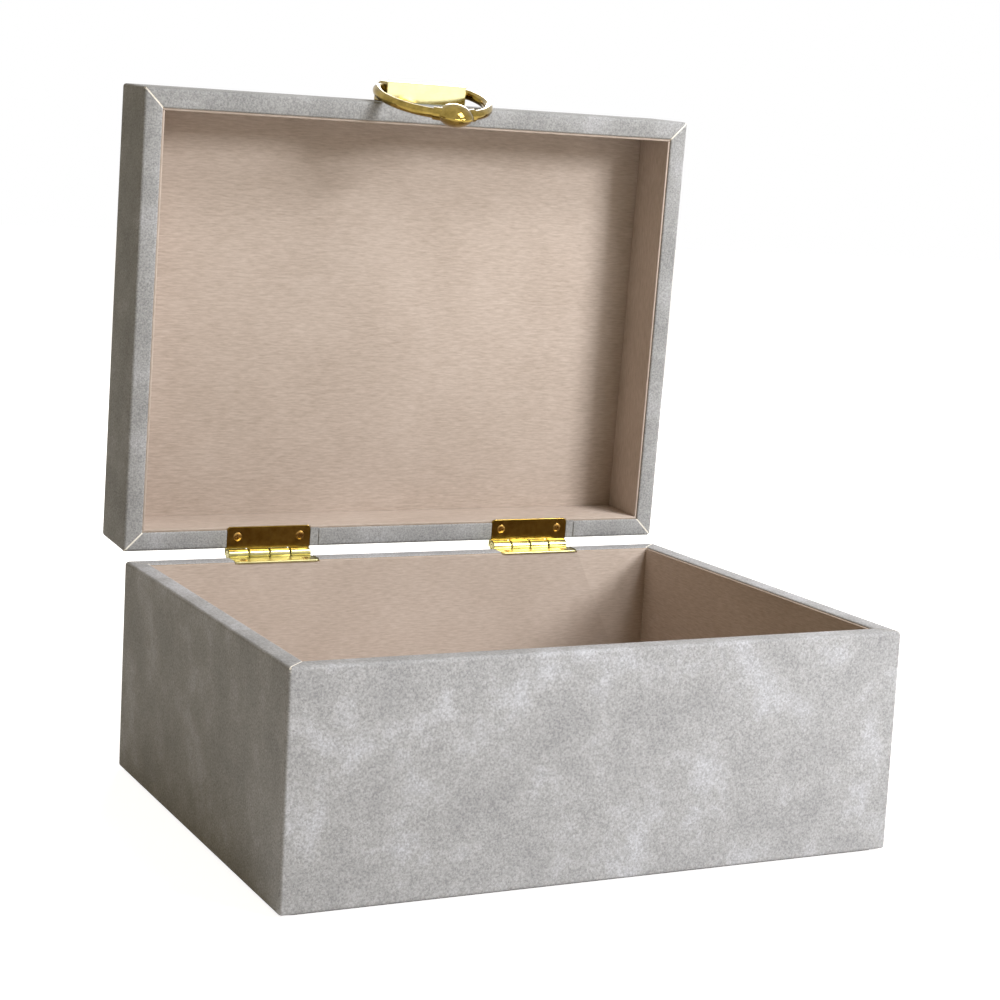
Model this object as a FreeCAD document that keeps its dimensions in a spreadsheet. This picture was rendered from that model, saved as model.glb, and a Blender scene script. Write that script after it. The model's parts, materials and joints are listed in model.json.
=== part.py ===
import FreeCAD, Part
import Sketcher
import os
import re

# A keepsake box: two trays of board wrapped in faux suede and lined in cloth, joined at the back by two
# brass stop hinges. A brass ring pull hangs on the lid's front wall. The lid stands open on its stops.
# Origin: centre of the base's underside. +X right, +Y towards the hinges, +Z up. Millimetres and degrees.

SIZES = [
    ("box_width", "270", "outside width of both trays"),
    ("box_depth", "204", "outside depth of both trays"),
    ("base_height", "94", "from the table to the base's rim"),
    ("lid_height", "33.5", "from the lid's rim to its top"),
    ("rim_gap", "1", "between the rims when the lid is shut"),
    ("lid_open_angle", "87", "how far the hinge stops let the lid open"),
    ("cover_thick", "0.7", "faux suede wrap"),
    ("board_thick", "7.9", "wall boards"),
    ("lining_thick", "1", "cloth on card inside the walls"),
    ("lining_drop", "0.4", "lining edge below the rim"),
    ("edge_round", "1.5", "outer edges of the wrap"),
    ("foot_round", "0.5", "lower edges of the base's wrap"),
    ("mitre_slit", "0.5", "open cut between two turned-over flaps of the wrap"),
    ("turn_under", "14", "wrap folded under the base"),
    ("floor_thick", "5", "floor board of the base"),
    ("panel_thick", "4", "top board of the lid"),
    ("rabbet_depth", "4", "seat of the floor and top boards in the walls"),
    ("floor_lining_thick", "1.2", "lining on the floor and under the lid's top"),
    ("felt_thick", "1", "felt under the base"),
    ("felt_inset", "3", "felt edge in from the walls"),
    ("felt_corner", "4", "corner radius of the felt"),
    ("felt_clearance", "0.3", "round the felt's raised middle"),
    ("hinge_offset", "66.7", "hinge middle from the box's middle"),
    ("hinge_width", "40", "length of a hinge"),
    ("leaf_thick", "1.1", "hinge leaf"),
    ("leaf_sink", "0.3", "leaf below the rim it is let into"),
    ("leaf_reach", "10", "leaf from the rear face to its inner edge"),
    ("mortise_slack", "0.3", "seat past the ends of a leaf"),
    ("mortise_run", "4.4", "seat in the lid past the right end of a leaf"),
    ("leaf_corner", "1.6", "inner corners of a leaf"),
    ("barrel_radius", "2.5", "outside of the knuckles"),
    ("barrel_clearance", "0.3", "knuckles to the rear faces and to the other leaf"),
    ("barrel_chamfer", "0.5", "ends of each knuckle"),
    ("knuckle_gap", "0.2", "between neighbouring knuckles"),
    ("pin_radius", "1.25", "hinge pin"),
    ("running_clearance", "0.05", "pin or rod in its bore"),
    ("stop_thick", "1", "stop tab behind a knuckle"),
    ("stop_clearance", "0.1", "stop tab to the open lid"),
    ("hinge_screw_offset", "15.1", "hinge screws from the hinge's middle"),
    ("hinge_screw_setback", "5.4", "hinge screws from the rear face"),
    ("screw_radius", "1", "hinge screw shank"),
    ("screw_head_radius", "2", "countersunk head"),
    ("screw_head_depth", "0.9", "countersunk head"),
    ("screw_length", "7.5", "hinge screw"),
    ("screw_tip", "1.5", "pointed end of a hinge screw"),
    ("screw_clearance", "0.05", "screws in their holes"),
    ("pull_width", "39.5", "pull block along the lid"),
    ("pull_height", "15", "pull block up the lid's wall"),
    ("pull_thick", "9.4", "pull block out from the wall"),
    ("pull_round", "0.7", "edges of the pull block"),
    ("pull_rise", "8", "lid's rim to the block"),
    ("pivot_rise", "4.4", "block's lower face to the ring's pivot"),
    ("pivot_height", "5.7", "lid's wall to the ring's pivot"),
    ("rod_radius", "1.2", "rod that the ring swings on"),
    ("ring_radius", "25.4", "middle line of the ring's wire"),
    ("wire_radius", "2.25", "ring wire"),
    ("eye_radius", "2.5", "turned-in ends of the ring"),
    ("eye_width", "4.8", "turned-in ends of the ring"),
    ("eye_gap", "0.3", "ring's ends to the block"),
    ("ring_rest_angle", "13.8", "ring's slope towards the rim at rest"),
    ("bead_radius", "8.6", "lens bead across the ring"),
    ("bead_thick", "10.4", "lens bead through the ring"),
    ("bead_land", "0.8", "edge of the lens bead"),
    ("collar_radius", "2.9", "collar round the wire at each end of the bead"),
    ("collar_reach", "1.3", "collar past the bead's edge"),
    ("bead_clearance", "0.05", "wire in the bead"),
    ("pull_screw_offset", "12", "pull screws from the middle"),
    ("pull_screw_rise", "10.4", "block's lower face to the pull screws"),
    ("pull_screw_radius", "1.6", "pull screw shank"),
    ("pull_screw_bite", "6", "pull screw in the block"),
    ("pull_head_radius", "3", "pull screw head"),
    ("pull_head_depth", "1.8", "pull screw head"),
    ("pull_head_clearance", "0.2", "pull screw head in its counterbore"),
    ("overrun", "1", "how far cuts run past a face"),
]

doc = FreeCAD.newDocument("keepsake_box")
sheet = doc.addObject("Spreadsheet::Sheet", "Sizes")
for row, (alias, value, meaning) in enumerate(SIZES, start=1):
    sheet.set("A%d" % row, meaning)
    sheet.set("B%d" % row, value)
    sheet.setAlias("B%d" % row, alias)
doc.recompute()

ALIASES = {alias for alias, value, meaning in SIZES}
FULL_TURN = 360
QUARTER_TURN = 90
MITRE_ANGLE = 45
KNUCKLES = 4
BASE_KNUCKLES = (0, 2)
LID_KNUCKLES = (1, 3)
SIDES = (("left", -1), ("right", 1))
TONGUE_SHARE = "0.65"
PIN_CHAMFER_SHARE = "0.25"
SAME_PLACE = Part.Precision.confusion()
X_AXIS = FreeCAD.Vector(1, 0, 0)
Y_AXIS = FreeCAD.Vector(0, 1, 0)
Z_AXIS = FreeCAD.Vector(0, 0, 1)

# Places that several pieces share, written in the sheet's words.
AXIS_SETBACK = "(barrel_radius + barrel_clearance)"
AXIS_Y = "(box_depth / 2 + %s)" % AXIS_SETBACK
AXIS_Z = "(base_height + rim_gap / 2)"
LID_TURN = "(180 - lid_open_angle)"
BOARD_FACE = "(cover_thick + board_thick)"
WALL = "(cover_thick + board_thick + lining_thick)"
LEAF_TOP = "(-rim_gap / 2 - leaf_sink)"
LEAF_UNDER = "(-rim_gap / 2 - leaf_sink - leaf_thick)"
LID_FRONT = "(%s + box_depth)" % AXIS_SETBACK
PIVOT_Y = "(%s + pivot_height)" % LID_FRONT
PIVOT_Z = "(-rim_gap / 2 - pull_rise - pivot_rise)"
PULL_SCREW_Z = "(-rim_gap / 2 - pull_rise - pull_screw_rise)"
EYE_MIDDLE = "(pull_width / 2 + eye_gap + eye_width / 2)"
EYE_END = "(pull_width / 2 + eye_gap + eye_width)"
RING_CENTRE = "sqrt(ring_radius ^ 2 - %s ^ 2)" % EYE_MIDDLE
RING_TURN = "(%s + ring_rest_angle)" % LID_TURN
STOP_TOP = "(%s * (1 + cos(lid_open_angle)) / sin(lid_open_angle) - stop_clearance)" % AXIS_SETBACK


class Tray:
    """One of the two open boxes in its own frame, rim up, its walls named as on the shut box."""

    def __init__(self, name, low_wall, high_wall, y_low, foot, rim, panel_name, panel_thick):
        self.name = name
        self.low_wall = low_wall
        self.high_wall = high_wall
        self.y_low = y_low
        self.y_high = "(%s + box_depth)" % y_low
        self.foot = foot
        self.rim = rim
        self.panel_name = panel_name
        self.panel_top = "(%s + cover_thick + %s)" % (foot, panel_thick)

    def inset(self, distance):
        """Low and high Y at a distance in from the two long faces."""
        return "%s + %s" % (self.y_low, distance), "%s - %s" % (self.y_high, distance)

    def behind(self, distance):
        """Y at a distance in from the face that carries the hinges."""
        if self.high_wall == "back":
            return "%s - (%s)" % (self.y_high, distance)
        return "%s + (%s)" % (self.y_low, distance)


BASE = Tray("base", "front", "back", "(-box_depth / 2)", "felt_thick", "base_height", "floor", "floor_thick")
LID = Tray("lid", "back", "front", AXIS_SETBACK, "(-rim_gap / 2 - lid_height)", "(-rim_gap / 2)", "top",
           "panel_thick")


def in_sheet(text):
    """Turn an expression written in plain size names into one that reads the sheet."""
    return re.sub("[a-z_]+", lambda word: "Sizes." + word[0] if word[0] in ALIASES else word[0], text)


def bind(item, **places):
    """Bind properties of an object to expressions; two underscores stand for a dot."""
    for name, text in places.items():
        item.setExpression(name.replace("__", "."), in_sheet(text))


def number(text):
    """The present value of an expression."""
    return float(sheet.evalExpression(in_sheet(text)))


def even(half):
    """A span that is even about the middle."""
    return "-(%s)" % half, half


def new_body(label):
    return doc.addObject("PartDesign::Body", label)


def new_sketch(body, name, role):
    """A sketch on one of the body's own origin planes."""
    sketch = body.newObject("Sketcher::SketchObject", name)
    plane = [item for item in body.Origin.OriginFeatures if item.Role == role][0]
    sketch.AttachmentSupport = (plane, [""])
    sketch.MapMode = "FlatFace"
    return sketch


def place_on_lid(body, across="0"):
    """Move a piece from the lid's own frame, axis at the origin and rim up, to the open lid."""
    body.Placement.Rotation = FreeCAD.Rotation(X_AXIS, number(LID_TURN))
    bind(body, Placement__Base__x=across, Placement__Base__y=AXIS_Y, Placement__Base__z=AXIS_Z,
         Placement__Rotation__Angle=LID_TURN)


def place_on_pivot(body, turn):
    """Move a piece from the ring's own frame, pivot at the origin and ring upwards, to the open lid."""
    swung_y = "%s + %s * cos(%s) - %s * sin(%s)" % (AXIS_Y, PIVOT_Y, LID_TURN, PIVOT_Z, LID_TURN)
    swung_z = "%s + %s * sin(%s) + %s * cos(%s)" % (AXIS_Z, PIVOT_Y, LID_TURN, PIVOT_Z, LID_TURN)
    body.Placement.Rotation = FreeCAD.Rotation(X_AXIS, number(turn))
    bind(body, Placement__Base__y=swung_y, Placement__Base__z=swung_z, Placement__Rotation__Angle=turn)


def block(body, kind, name, x_span, y_span, z_span):
    """Add or cut a straight block; each span is a low and a high expression."""
    item = body.newObject("PartDesign::%sBox" % kind, name)
    bind(item, Placement__Base__x=x_span[0], Placement__Base__y=y_span[0], Placement__Base__z=z_span[0],
         Length="(%s) - (%s)" % (x_span[1], x_span[0]), Width="(%s) - (%s)" % (y_span[1], y_span[0]),
         Height="(%s) - (%s)" % (z_span[1], z_span[0]))
    return item


def cylinder(body, kind, name, axis, start, radius, length):
    """Add or cut a cylinder that runs from start along +X, +Y or +Z."""
    turns = {"x": FreeCAD.Rotation(Y_AXIS, QUARTER_TURN), "y": FreeCAD.Rotation(X_AXIS, -QUARTER_TURN),
             "z": FreeCAD.Rotation()}
    item = body.newObject("PartDesign::%sCylinder" % kind, name)
    item.Placement.Rotation = turns[axis]
    bind(item, Placement__Base__x=start[0], Placement__Base__y=start[1], Placement__Base__z=start[2],
         Radius=radius, Height=length)
    return item


def outline(sketch, corners, arcs=None):
    """Draw a closed run of lines through corners bound to the sheet; arcs maps an edge to its radius."""
    arcs = arcs or {}
    points = [FreeCAD.Vector(number(x), number(y), 0) for x, y in corners]
    for index, point in enumerate(points):
        following = points[(index + 1) % len(points)]
        if index in arcs:
            sketch.addGeometry(bulged(point, following, number(arcs[index])))
        else:
            sketch.addGeometry(Part.LineSegment(point, following))
    for index, (x, y) in enumerate(corners):
        sketch.addConstraint(Sketcher.Constraint("Coincident", index, 2, (index + 1) % len(corners), 1))
        for kind, text in (("DistanceX", x), ("DistanceY", y)):
            place = sketch.addConstraint(Sketcher.Constraint(kind, -1, 1, index, 1, number(text)))
            sketch.setExpression("Constraints[%d]" % place, in_sheet(text))
    for index, radius in arcs.items():
        place = sketch.addConstraint(Sketcher.Constraint("Radius", index, number(radius)))
        sketch.setExpression("Constraints[%d]" % place, in_sheet(radius))


def bulged(start, end, radius):
    """An arc from start to end, turning left, that bulges to the right of the straight way."""
    way = (end - start) / 2
    aside = FreeCAD.Vector(way.y, -way.x, 0).normalize()
    depth = radius - (radius ** 2 - way.Length ** 2) ** 0.5
    return Part.Arc(start, start + way + aside * depth, end)


def rectangle(body, name, half_width, y_span, level):
    """Sketch a rectangle, even about the middle, on a level plane."""
    sketch = new_sketch(body, name, "XY_Plane")
    bind(sketch, AttachmentOffset__Base__z=level)
    left, right = even(half_width)
    outline(sketch, [(left, y_span[0]), (right, y_span[0]), (right, y_span[1]), (left, y_span[1])])
    return sketch


def extrude(body, kind, sketch, length):
    """Pad a sketch upwards or pocket it downwards."""
    item = body.newObject("PartDesign::%s" % kind, sketch.Name + kind)
    item.Profile = sketch
    bind(item, Length=length)
    return item


def revolve(body, sketch, angle):
    """Turn a sketch about its own horizontal axis, evenly to both sides."""
    item = body.newObject("PartDesign::Revolution", sketch.Name + "_turn")
    item.Profile = sketch
    item.ReferenceAxis = (sketch, ["H_Axis"])
    item.Midplane = True
    bind(item, Angle=angle)
    return item


def turned(body, name, corners):
    """Turn an outline of places along X and radii about the body's X axis."""
    sketch = new_sketch(body, name, "XY_Plane")
    outline(sketch, corners)
    return revolve(body, sketch, str(FULL_TURN))


def round_edges(body, base, name, radius, chosen):
    """Fillet those edges of a feature that pass a test."""
    doc.recompute()
    item = body.newObject("PartDesign::Fillet", name)
    item.Base = (base, ["Edge%d" % place for place, edge in enumerate(base.Shape.Edges, 1) if chosen(edge)])
    bind(item, Radius=radius)
    return item


def is_upright(edge):
    return edge.BoundBox.XLength < SAME_PLACE and edge.BoundBox.YLength < SAME_PLACE


def at_level(edge, level):
    return abs(edge.BoundBox.ZMin - level) < SAME_PLACE and abs(edge.BoundBox.ZMax - level) < SAME_PLACE


def wrap(tray, far_round):
    """The faux suede wrap: round the walls, over the rim, and across or turned under the far side."""
    label = tray.name + "_wrap"
    body = new_body(label)
    foot = number(tray.foot)
    height = "%s - %s" % (tray.rim, tray.foot)
    skin = rectangle(body, label + "_skin", "box_width / 2", (tray.y_low, tray.y_high), tray.foot)
    solid = extrude(body, "Pad", skin, height)
    solid = round_edges(body, solid, label + "_edges", "edge_round", lambda edge: not at_level(edge, foot))
    round_edges(body, solid, label + "_far_edges", far_round, lambda edge: at_level(edge, foot))
    boards = rectangle(body, label + "_boards", "box_width / 2 - cover_thick", tray.inset("cover_thick"),
                       "%s - cover_thick" % tray.rim)
    extrude(body, "Pocket", boards, height + " - 2 * cover_thick")
    mouth = rectangle(body, label + "_mouth", "box_width / 2 - %s" % BOARD_FACE, tray.inset(BOARD_FACE),
                      tray.rim)
    extrude(body, "Pocket", mouth, "2 * cover_thick")
    for index in range(4):
        mitre(body, tray, index)
    return body


def mitre(body, tray, index):
    """The open cut on one corner of the rim, where two turned-over flaps of the wrap meet."""
    angle = MITRE_ANGLE + QUARTER_TURN * index
    sideways = 1 if index in (0, 3) else -1
    corner_x = "%d * (box_width / 2 - %s)" % (sideways, BOARD_FACE)
    corner_y = tray.inset(BOARD_FACE)[1 if index in (0, 1) else 0]
    cut = body.newObject("PartDesign::SubtractiveBox", "%s_mitre_%d" % (body.Name, index))
    cut.Placement.Rotation = FreeCAD.Rotation(Z_AXIS, angle)
    bind(cut, Length="%s * sqrt(2) + 2 * overrun" % BOARD_FACE, Width="mitre_slit",
         Height="cover_thick + overrun",
         Placement__Base__x="%s - overrun * cos(%d) + mitre_slit / 2 * sin(%d)" % (corner_x, angle, angle),
         Placement__Base__y="%s - overrun * sin(%d) - mitre_slit / 2 * cos(%d)" % (corner_y, angle, angle),
         Placement__Base__z="%s - cover_thick" % tray.rim)


def open_underside(body, tray):
    """The opening that the wrap's turned-under edges leave below the base."""
    under = rectangle(body, "base_wrap_under", "box_width / 2 - turn_under", tray.inset("turn_under"),
                      "%s + cover_thick + overrun" % tray.foot)
    extrude(body, "Pocket", under, "cover_thick + 2 * overrun")


def wall_boards(tray):
    """Long boards run the full width, side boards fit between them; all hold a panel in a rabbet."""
    z_span = ("%s + cover_thick" % tray.foot, "%s - cover_thick" % tray.rim)
    outer = "(box_width / 2 - cover_thick)"
    inner = "(box_width / 2 - %s)" % BOARD_FACE
    seat = even("%s + rabbet_depth" % inner)
    seat_y = tray.inset("(%s - rabbet_depth)" % BOARD_FACE)
    skin_y = tray.inset("cover_thick")
    face_y = tray.inset(BOARD_FACE)
    spans = {
        tray.low_wall: (even(outer), (skin_y[0], face_y[0])),
        tray.high_wall: (even(outer), (face_y[1], skin_y[1])),
        "left": (("-" + outer, "-" + inner), face_y),
        "right": ((inner, outer), face_y),
    }
    bodies = {}
    for side, (x_span, y_span) in spans.items():
        body = new_body("%s_%s_board" % (tray.name, side))
        block(body, "Additive", body.Name + "_blank", x_span, y_span, z_span)
        block(body, "Subtractive", body.Name + "_rabbet", seat, seat_y,
              ("%s - overrun" % z_span[0], tray.panel_top))
        bodies[side] = body
    panel = new_body("%s_%s_board" % (tray.name, tray.panel_name))
    block(panel, "Additive", panel.Name + "_blank", seat, seat_y, (z_span[0], tray.panel_top))
    bodies[tray.panel_name] = panel
    return bodies


def linings(tray):
    """Cloth-covered cards: one on the panel, four standing on it along the walls."""
    wall_z = ("%s + floor_lining_thick" % tray.panel_top, "%s - lining_drop" % tray.rim)
    board = "(box_width / 2 - %s)" % BOARD_FACE
    face = "(box_width / 2 - %s)" % WALL
    board_y = tray.inset(BOARD_FACE)
    face_y = tray.inset(WALL)
    spans = {
        tray.low_wall: (even(board), (board_y[0], face_y[0]), wall_z),
        tray.high_wall: (even(board), (face_y[1], board_y[1]), wall_z),
        "left": (("-" + board, "-" + face), face_y, wall_z),
        "right": ((face, board), face_y, wall_z),
        tray.panel_name: (even(board), board_y, (tray.panel_top, wall_z[0])),
    }
    bodies = {}
    for side, (x_span, y_span, z_span) in spans.items():
        body = new_body("%s_%s_lining" % (tray.name, side))
        block(body, "Additive", body.Name + "_card", x_span, y_span, z_span)
        bodies[side] = body
    return bodies


def felt_pad():
    """Felt under the base, with a middle that fills the opening in the turned-under wrap."""
    body = new_body("base_felt")
    sheet_y = BASE.inset("felt_inset")
    solid = extrude(body, "Pad", rectangle(body, "felt_sheet", "box_width / 2 - felt_inset", sheet_y, "0"),
                    "felt_thick")
    round_edges(body, solid, "felt_corners", "felt_corner", is_upright)
    gap = "(turn_under + felt_clearance)"
    middle = rectangle(body, "felt_middle", "box_width / 2 - %s" % gap, BASE.inset(gap), "0")
    extrude(body, "Pad", middle, "felt_thick + cover_thick")
    return body


def let_in_hinges(tray, wrapping, board, lining, run):
    """Seats for both leaves, across the rim from the rear face to the lining, and their pilot holes."""
    y_span = sorted((tray.behind("-overrun"), tray.behind("%s + overrun" % WALL)), key=number)
    z_span = ("%s - leaf_sink - leaf_thick" % tray.rim, "%s + overrun" % tray.rim)
    for side, sign in SIDES:
        middle = "%d * hinge_offset" % sign
        x_span = ("%s - hinge_width / 2 - mortise_slack" % middle,
                  "%s + hinge_width / 2 + %s" % (middle, run))
        for body in (wrapping, board, lining):
            block(body, "Subtractive", "%s_%s_mortise" % (body.Name, side), x_span, y_span, z_span)
        for place, way in SIDES:
            start = ("%s + %d * hinge_screw_offset" % (middle, way), tray.behind("hinge_screw_setback"),
                     "%s - leaf_sink - screw_length - screw_clearance" % tray.rim)
            cylinder(board, "Subtractive", "%s_%s_%s_pilot" % (board.Name, side, place), "z", start,
                     "screw_radius + screw_clearance", "screw_length")


def knuckle_span(index):
    """Where one knuckle starts and ends along the barrel."""
    pitch = "hinge_width / %d" % KNUCKLES
    start = "-hinge_width / 2 + %d * %s + knuckle_gap / 2" % (index, pitch)
    return start, "%s + %s - knuckle_gap" % (start, pitch)


def hinge_leaf(label, way, own_knuckles):
    """A leaf let into a rim, way -1 for the base's and 1 for the lid's, with its rolled knuckles."""
    body = new_body(label)
    leaf_z = (LEAF_UNDER, LEAF_TOP)
    inner_edge = "%d * (%s + leaf_reach)" % (way, AXIS_SETBACK)
    rear_edge = "%d * %s" % (way, AXIS_SETBACK)
    root = "%d * %s * barrel_radius" % (way, TONGUE_SHARE)
    plate = block(body, "Additive", label + "_plate", even("hinge_width / 2"),
                  sorted((rear_edge, inner_edge), key=number), leaf_z)
    inner_y = number(inner_edge)
    round_edges(body, plate, label + "_corners", "leaf_corner",
                lambda edge: is_upright(edge) and abs(edge.CenterOfMass.y - inner_y) < SAME_PLACE)
    bore = "pin_radius + running_clearance"
    shoulder = "barrel_radius - barrel_chamfer"
    for index in own_knuckles:
        start, end = knuckle_span(index)
        block(body, "Additive", "%s_tongue_%d" % (label, index), (start, end),
              sorted((root, rear_edge), key=number), leaf_z)
        turned(body, "%s_knuckle_%d" % (label, index), [
            (start, bore), (end, bore), (end, shoulder), ("%s - barrel_chamfer" % end, "barrel_radius"),
            ("%s + barrel_chamfer" % start, "barrel_radius"), (start, shoulder)])
        if way < 0:
            stop_tab(body, "%s_stop_%d" % (label, index), start, end)
    for side, sign in SIDES:
        x = "%d * hinge_screw_offset" % sign
        y = "%d * (%s + hinge_screw_setback)" % (way, AXIS_SETBACK)
        cylinder(body, "Subtractive", "%s_%s_hole" % (label, side), "z", (x, y, "%s - overrun" % LEAF_UNDER),
                 "screw_radius + screw_clearance", "leaf_thick + 2 * overrun")
        sink = body.newObject("PartDesign::SubtractiveCone", "%s_%s_countersink" % (label, side))
        bind(sink, Radius1="screw_radius + screw_clearance", Radius2="screw_head_radius + screw_clearance",
             Height="screw_head_depth", Placement__Base__x=x, Placement__Base__y=y,
             Placement__Base__z="%s - screw_head_depth" % LEAF_TOP)
    return body


def stop_tab(body, name, start, end):
    """A tab turned up behind a base knuckle: its top edge meets the lid's rear face and stops the lid."""
    sketch = new_sketch(body, name, "YZ_Plane")
    bind(sketch, AttachmentOffset__Base__z=start)
    root = "%s * barrel_radius" % TONGUE_SHARE
    outer = "%s + stop_thick" % AXIS_SETBACK
    outline(sketch, [(root, "-stop_thick / 2"), (outer, "-stop_thick / 2"), (outer, STOP_TOP),
                     (AXIS_SETBACK, STOP_TOP), (AXIS_SETBACK, "stop_thick / 2"), (root, "stop_thick / 2")])
    extrude(body, "Pad", sketch, "(%s) - (%s)" % (end, start))


def hinge_pin(label):
    """A plain pin with chamfered ends, just inside the barrel's ends."""
    body = new_body(label)
    left, right = even("hinge_width / 2 - knuckle_gap / 2")
    chamfer = "%s * pin_radius" % PIN_CHAMFER_SHARE
    tip = "pin_radius - %s" % chamfer
    turned(body, label + "_outline", [
        (left, "0"), (right, "0"), (right, tip), ("%s - %s" % (right, chamfer), "pin_radius"),
        ("%s + %s" % (left, chamfer), "pin_radius"), (left, tip)])
    return body


def hinge_screws(label, way):
    """The four countersunk screws of one tray's leaves, points down, in that tray's rim-up frame."""
    screws = []
    for hinge, hinge_sign in SIDES:
        for side, sign in SIDES:
            body = new_body("%s_%s_%s" % (label, hinge, side))
            turned(body, body.Name + "_outline", [
                ("0", "0"), ("screw_length", "0"), ("screw_length - screw_tip", "screw_radius"),
                ("screw_head_depth", "screw_radius"), ("0", "screw_head_radius")])
            body.Placement.Rotation = FreeCAD.Rotation(Y_AXIS, QUARTER_TURN)
            bind(body, Placement__Base__x="%d * hinge_offset + %d * hinge_screw_offset" % (hinge_sign, sign),
                 Placement__Base__y="%d * (%s + hinge_screw_setback)" % (way, AXIS_SETBACK),
                 Placement__Base__z=LEAF_TOP)
            screws.append(body)
    group = doc.addObject("Part::Compound", label)
    group.Links = screws
    return group


def drill_for_pull(body, name, y_from, depth, radius):
    """Two holes along Y at the pull's screws, in the lid's frame."""
    for side, sign in SIDES:
        cylinder(body, "Subtractive", "%s_%s" % (name, side), "y",
                 ("%d * pull_screw_offset" % sign, y_from, PULL_SCREW_Z), radius, depth)


def pull_block():
    """The brass block on the lid's front wall that carries the ring's rod."""
    body = new_body("pull_block")
    low = "-rim_gap / 2 - pull_rise - pull_height"
    blank = block(body, "Additive", "pull_blank", even("pull_width / 2"),
                  (LID_FRONT, "%s + pull_thick" % LID_FRONT), (low, "%s + pull_height" % low))
    wall_y = number(LID_FRONT)
    round_edges(body, blank, "pull_edges", "pull_round",
                lambda edge: edge.BoundBox.YMax > wall_y + SAME_PLACE)
    cylinder(body, "Subtractive", "pull_rod_bore", "x", ("-pull_width / 2 - overrun", PIVOT_Y, PIVOT_Z),
             "rod_radius + running_clearance", "pull_width + 2 * overrun")
    drill_for_pull(body, "pull_tapped_hole", "%s - overrun" % LID_FRONT, "pull_screw_bite + 2 * overrun",
                   "pull_screw_radius + screw_clearance")
    return body


def pull_screws():
    """Two screws from inside the lid's front board, heads sunk under the lining."""
    screws = []
    shank_end = "%s + pull_screw_bite" % BOARD_FACE
    for side, sign in SIDES:
        body = new_body("pull_screw_" + side)
        turned(body, body.Name + "_outline", [
            ("0", "0"), (shank_end, "0"), (shank_end, "pull_screw_radius"),
            ("pull_head_depth", "pull_screw_radius"), ("pull_head_depth", "pull_head_radius"),
            ("0", "pull_head_radius")])
        body.Placement.Rotation = FreeCAD.Rotation(Z_AXIS, QUARTER_TURN)
        bind(body, Placement__Base__x="%d * pull_screw_offset" % sign,
             Placement__Base__y="%s - %s" % (LID_FRONT, BOARD_FACE), Placement__Base__z=PULL_SCREW_Z)
        screws.append(body)
    group = doc.addObject("Part::Compound", "pull_screws")
    group.Links = screws
    return group


def pull_rod():
    body = new_body("pull_rod")
    cylinder(body, "Additive", "rod_bar", "x", ("-" + EYE_END, "0", "0"), "rod_radius", "2 * %s" % EYE_END)
    place_on_pivot(body, LID_TURN)
    return body


def wire_arc(body, name, radius, angle):
    """Round section turned about the ring's centre, evenly to both sides of the bead's place."""
    sketch = new_sketch(body, name, "YZ_Plane")
    bind(sketch, AttachmentOffset__Base__y=RING_CENTRE)
    sketch.addGeometry(Part.Circle(FreeCAD.Vector(0, number("ring_radius"), 0), Z_AXIS, number(radius)))
    sketch.addConstraint(Sketcher.Constraint("PointOnObject", 0, 3, -2))
    out = sketch.addConstraint(Sketcher.Constraint("DistanceY", -1, 1, 0, 3, number("ring_radius")))
    thick = sketch.addConstraint(Sketcher.Constraint("Radius", 0, number(radius)))
    sketch.setExpression("Constraints[%d]" % out, in_sheet("ring_radius"))
    sketch.setExpression("Constraints[%d]" % thick, in_sheet(radius))
    return revolve(body, sketch, angle)


def pull_ring():
    """Round wire bent to a ring, open at the top, its ends turned in to the rod."""
    body = new_body("pull_ring")
    wire_arc(body, "ring_wire", "wire_radius", "180 deg + 2 * asin(%s / ring_radius)" % RING_CENTRE)
    for side, start in (("left", "-" + EYE_END), ("right", "pull_width / 2 + eye_gap")):
        cylinder(body, "Additive", "ring_%s_eye" % side, "x", (start, "0", "0"), "eye_radius", "eye_width")
    cylinder(body, "Subtractive", "ring_rod_bore", "x", ("-%s - overrun" % EYE_END, "0", "0"),
             "rod_radius + running_clearance", "2 * (%s + overrun)" % EYE_END)
    place_on_pivot(body, RING_TURN)
    return body


def pull_bead():
    """A lens-shaped bead threaded on the ring's wire, with a collar round the wire at each end."""
    body = new_body("pull_bead")
    sketch = new_sketch(body, "bead_outline", "YZ_Plane")
    bind(sketch, AttachmentOffset__Base__y="%s + ring_radius" % RING_CENTRE)
    dome = "((bead_thick - bead_land) / 2)"
    dome_radius = "(bead_radius ^ 2 + %s ^ 2) / (2 * %s)" % (dome, dome)
    outline(sketch, [("-bead_thick / 2", "0"), ("bead_thick / 2", "0"), ("bead_land / 2", "bead_radius"),
                     ("-bead_land / 2", "bead_radius")], {1: dome_radius, 3: dome_radius})
    revolve(body, sketch, str(FULL_TURN))
    wire_arc(body, "bead_collars", "collar_radius", "2 * asin((bead_radius + collar_reach) / ring_radius)")
    passage = body.newObject("PartDesign::SubtractiveTorus", "bead_passage")
    passage.Placement.Rotation = FreeCAD.Rotation(X_AXIS, QUARTER_TURN)
    bind(passage, Radius1="ring_radius", Radius2="wire_radius + bead_clearance",
         Placement__Base__z=RING_CENTRE)
    place_on_pivot(body, RING_TURN)
    return body


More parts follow.
